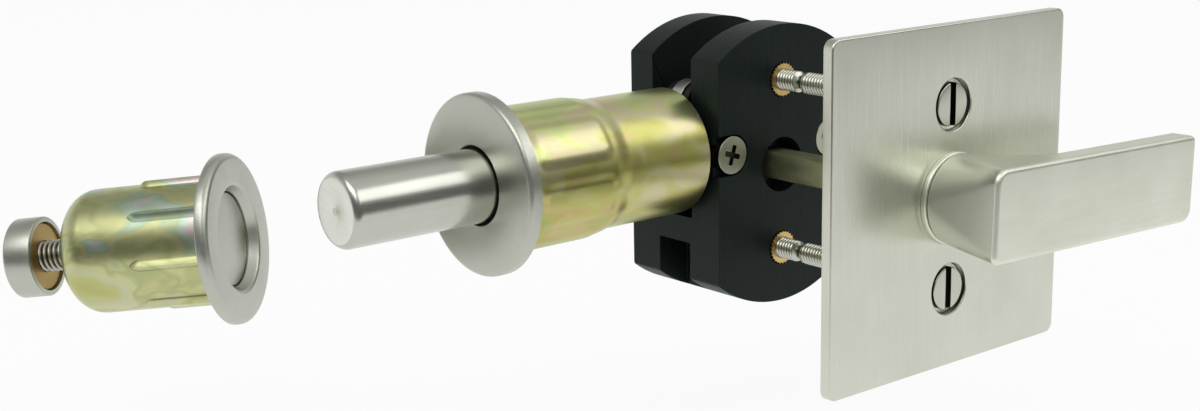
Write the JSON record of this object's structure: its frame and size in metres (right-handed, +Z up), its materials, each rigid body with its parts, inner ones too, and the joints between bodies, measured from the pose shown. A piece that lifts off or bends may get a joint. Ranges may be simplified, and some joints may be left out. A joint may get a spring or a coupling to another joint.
{
  "type": "barn door privacy lock",
  "caption": "Round-bolt privacy lock for a sliding door: lever on a square plate, moulded cross-bore body, bolt in a drawn sleeve, and a loose strike cup with a sprung cover.",
  "frame": {"origin": "centre of the sleeve flange's back face, which seats on the door's edge, on the bolt's axis", "axes": "+X along the bolt into the door, -Y towards the lever side of the door, +Z up"},
  "size_m": [0.1674, 0.1522, 0.06],
  "materials": {
    "satin_steel": "satin turned stainless steel",
    "satin_nickel": "satin nickel on a zinc casting",
    "brushed_nickel": "satin nickel, brushed upright",
    "silver_steel": "pale zinc-plated steel",
    "bright_steel": "bright nickel-plated steel",
    "zinc_casting": "plain grey casting",
    "yellow_zinc": "zinc plate with a yellow iridescent chromate",
    "olive_zinc": "zinc plate with an olive chromate",
    "black_acetal": "matt black moulded acetal",
    "brass": "plain machined brass"
  },
  "bodies": {
    "root": {"bolt_rose": "satin_steel", "bolt_sleeve": "yellow_zinc", "front_bush": "black_acetal", "sleeve_yoke": "yellow_zinc", "lock_body": "black_acetal", "clamp_screw_left": "silver_steel", "clamp_screw_right": "silver_steel", "insert_upper": "brass", "insert_lower": "brass", "trim_screw_upper": "bright_steel", "trim_screw_lower": "bright_steel", "trim_plate": "brushed_nickel", "lever_collar": "satin_nickel", "lever_washer": "silver_steel", "strike_flange": "satin_steel", "strike_cup": "yellow_zinc", "plunger_spring": "bright_steel", "strike_stud": "silver_steel", "cap_nut": "satin_steel", "cap_core": "brass"},
    "drive": {"lever": "satin_nickel", "spindle": "olive_zinc", "drive_hub": "silver_steel", "lever_ring": "silver_steel"},
    "bolt": {"bolt_rod": "satin_steel", "bolt_guide": "zinc_casting", "guide_pin": "satin_steel", "tail_straps": "silver_steel", "tail_rivets": "silver_steel", "tail_pin": "silver_steel"},
    "plunger": {"strike_plunger": "satin_steel"}
  },
  "joints": [
    {"name": "lever_turn", "type": "hinge", "parent": "root", "child": "drive", "pos_m": [0.06, 0, -0.0035], "axis": [0, 1, 0], "range_deg": [0, 90]},
    {"name": "bolt_slide", "type": "slide", "parent": "root", "child": "bolt", "axis": [1, 0, 0], "range_m": [0, 0.0254]},
    {"name": "strike_plunger_slide", "type": "slide", "parent": "root", "child": "plunger", "axis": [-0.6678, 0.7365, -0.108], "range_m": [0, 0.016], "stiffness_N_per_m": 600, "springref_m": -0.005, "deforming": ["plunger_spring"]}
  ],
  "couplings": [
    {"joint": "bolt_slide", "follows": "lever_turn", "m_per_rad": 0.01617}
  ]
}
